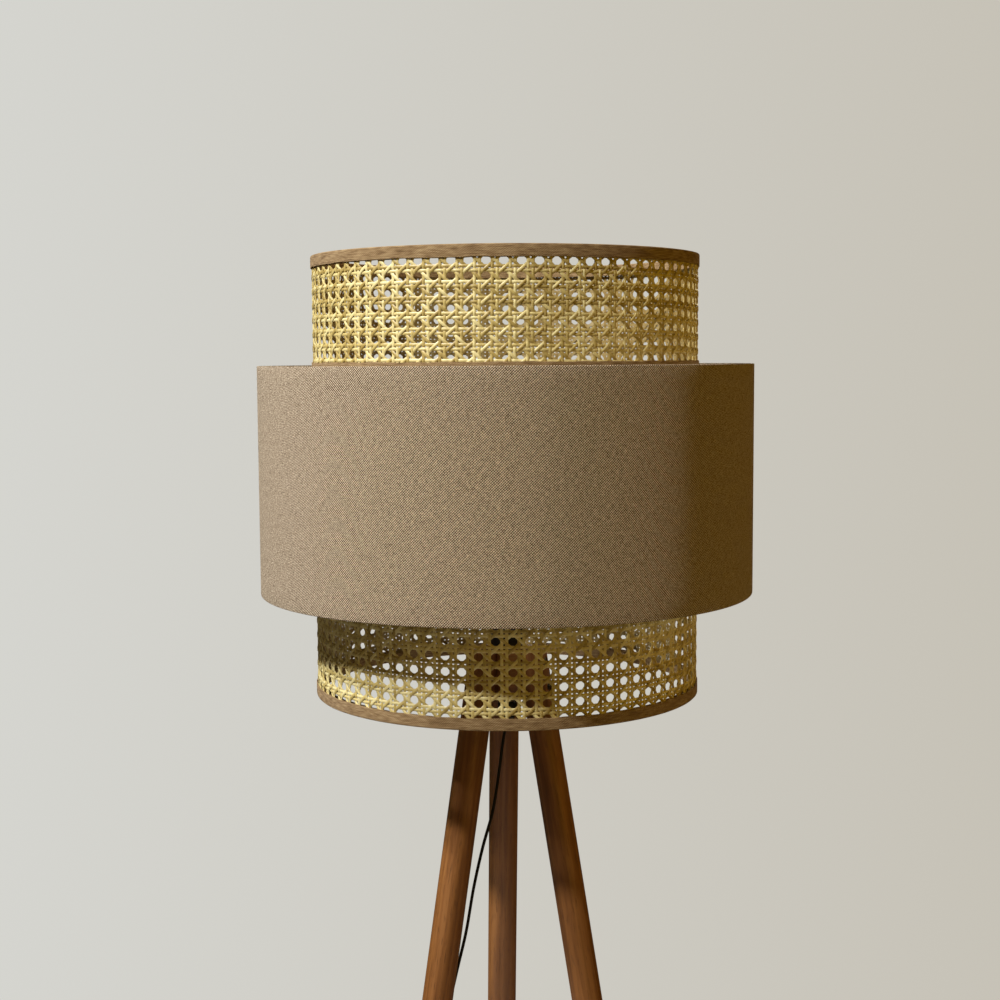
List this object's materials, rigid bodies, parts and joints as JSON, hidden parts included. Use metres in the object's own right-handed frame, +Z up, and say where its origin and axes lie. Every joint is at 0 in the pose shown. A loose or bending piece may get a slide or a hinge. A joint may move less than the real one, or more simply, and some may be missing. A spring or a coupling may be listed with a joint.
{
  "type": "tripod floor lamp",
  "caption": "Tripod floor lamp: splayed round wooden legs carry a three-tier drum shade, a wide linen drum between narrower woven-cane drums, with a plug-in lead and foot switch.",
  "frame": {"origin": "on the floor, under the middle of the shade", "axes": "+Z up along the lamp's axis, -Y is the front"},
  "size_m": [0.45, 0.45, 1.445],
  "materials": {
    "stained_wood": "satin walnut stain, straight grain along the length",
    "woven_cane": "natural open octagonal weave, slightly glossy skin",
    "linen": "heathered taupe twill, matt",
    "edge_tape": "woven cotton tape, matt",
    "coated_wire": "off-white powder coat",
    "zinc_steel": "zinc plated",
    "brass": "plain",
    "nickel": "nickel plated",
    "black_plastic": "fine moulded grain",
    "white_ceramic": "plain",
    "white_plastic": "smooth",
    "opal_plastic": "opal",
    "board_aluminium": "plain",
    "black_flex": "smooth PVC twin flex",
    "black_rubber": "matt"
  },
  "bodies": {
    "base": {"leg_left": "stained_wood", "leg_right": "stained_wood", "leg_rear": "stained_wood", "hub_block": "stained_wood", "leg_screw_left_upper": "zinc_steel", "leg_screw_left_lower": "zinc_steel", "leg_screw_right_upper": "zinc_steel", "leg_screw_right_lower": "zinc_steel", "leg_screw_rear_upper": "zinc_steel", "leg_screw_rear_lower": "zinc_steel", "hub_washer": "zinc_steel", "hub_nut": "zinc_steel", "lamp_tube": "brass", "holder_screw_shell": "brass", "holder_contact": "brass", "plug_pin_1": "nickel", "plug_pin_2": "nickel", "cord_grip": "black_plastic", "holder_cap": "black_plastic", "holder_skirt": "black_plastic", "switch_base": "black_plastic", "switch_cover": "black_plastic", "plug_body": "black_plastic", "holder_insert": "white_ceramic", "cord_upper": "black_flex", "cord_middle": "black_flex", "cord_tail": "black_flex", "cord_coil": "black_flex", "foot_pad_left": "black_rubber", "foot_pad_right": "black_rubber", "foot_pad_rear": "black_rubber"},
    "shade": {"upper_drum_cane": "woven_cane", "lower_drum_cane": "woven_cane", "linen_drum": "linen", "upper_drum_top_tape": "edge_tape", "upper_drum_bottom_tape": "edge_tape", "lower_drum_top_tape": "edge_tape", "lower_drum_bottom_tape": "edge_tape", "upper_drum_top_wire": "coated_wire", "upper_drum_bottom_wire": "coated_wire", "lower_drum_top_wire": "coated_wire", "lower_drum_bottom_wire": "coated_wire", "linen_top_wire": "coated_wire", "linen_bottom_wire": "coated_wire", "carrier_ring": "coated_wire", "carrier_spoke_1": "coated_wire", "carrier_spoke_2": "coated_wire", "carrier_spoke_3": "coated_wire", "link_bar_1": "coated_wire", "link_bar_2": "coated_wire", "link_bar_3": "coated_wire", "link_bar_4": "coated_wire"},
    "shade_ring": {"shade_ring": "black_plastic"},
    "bulb": {"bulb_contact": "nickel", "bulb_cap": "nickel", "bulb_housing": "white_plastic", "bulb_board": "board_aluminium", "bulb_dome": "opal_plastic"},
    "switch_button": {"switch_button": "black_plastic"}
  },
  "joints": [
    {"name": "shade_turn", "type": "hinge", "parent": "base", "child": "shade", "pos_m": [0, 0, 1.12], "axis": [0, 0, 1], "continuous": true},
    {"name": "shade_ring_turn", "type": "hinge", "parent": "base", "child": "shade_ring", "pos_m": [0, 0, 1.125], "axis": [0, 0, 1], "continuous": true},
    {"name": "bulb_turn", "type": "hinge", "parent": "base", "child": "bulb", "pos_m": [0, 0, 1.15], "axis": [0, 0, 1], "continuous": true},
    {"name": "switch_press", "type": "slide", "parent": "base", "child": "switch_button", "axis": [0, 0, -1], "range_m": [0, 0.003], "stiffness_N_per_m": 500, "springref_m": -0.002}
  ]
}
